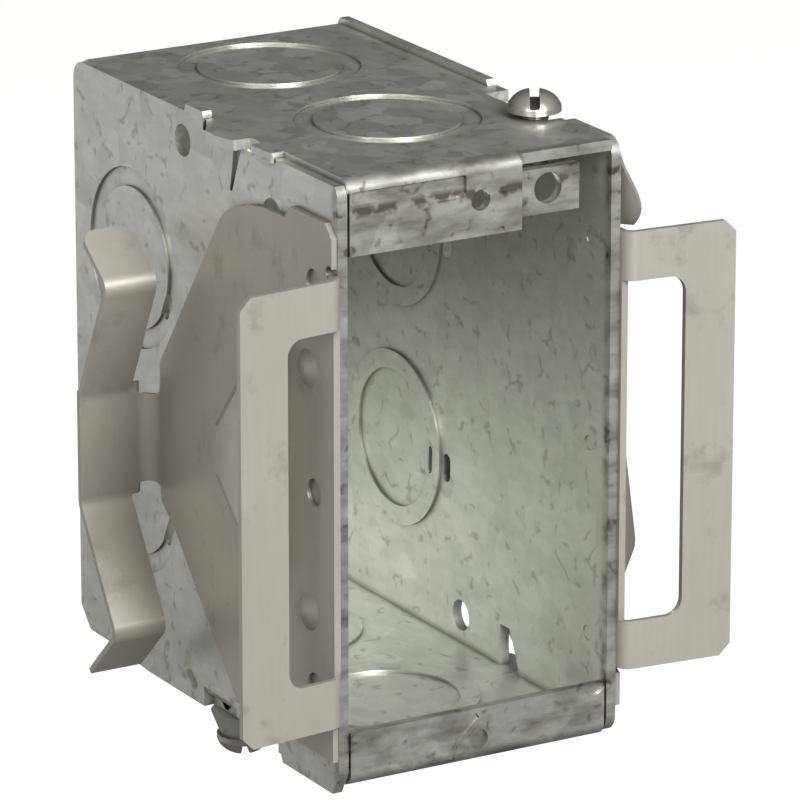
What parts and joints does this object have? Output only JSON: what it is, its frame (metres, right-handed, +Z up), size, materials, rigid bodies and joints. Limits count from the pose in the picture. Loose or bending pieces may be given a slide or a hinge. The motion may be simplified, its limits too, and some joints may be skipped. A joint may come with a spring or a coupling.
{
  "type": "device box",
  "caption": "Open-front galvanised steel device box with removable side plates, knockouts, gang screws and folded spring brackets that clip it into a wall panel.",
  "frame": {"origin": "midway between the two device screw holes, on the front face of the device flanges", "axes": "+X to the right seen from the open front, +Y into the box, +Z up; the open front faces -Y"},
  "size_m": [0.0842, 0.0856, 0.1037],
  "materials": {
    "galvanised_sheet": "hot-dip galvanised steel with a faint spangle",
    "bracket_strip": "plain pre-galvanised strip, smooth satin",
    "zinc_plated_screw": "bright zinc plated"
  },
  "bodies": {
    "root": {"box_body": "galvanised_sheet", "left_side_plate": "galvanised_sheet", "right_side_plate": "galvanised_sheet", "left_bracket": "bracket_strip", "right_bracket": "bracket_strip", "top_gang_screw": "zinc_plated_screw", "bottom_gang_screw": "zinc_plated_screw"}
  },
  "joints": []
}
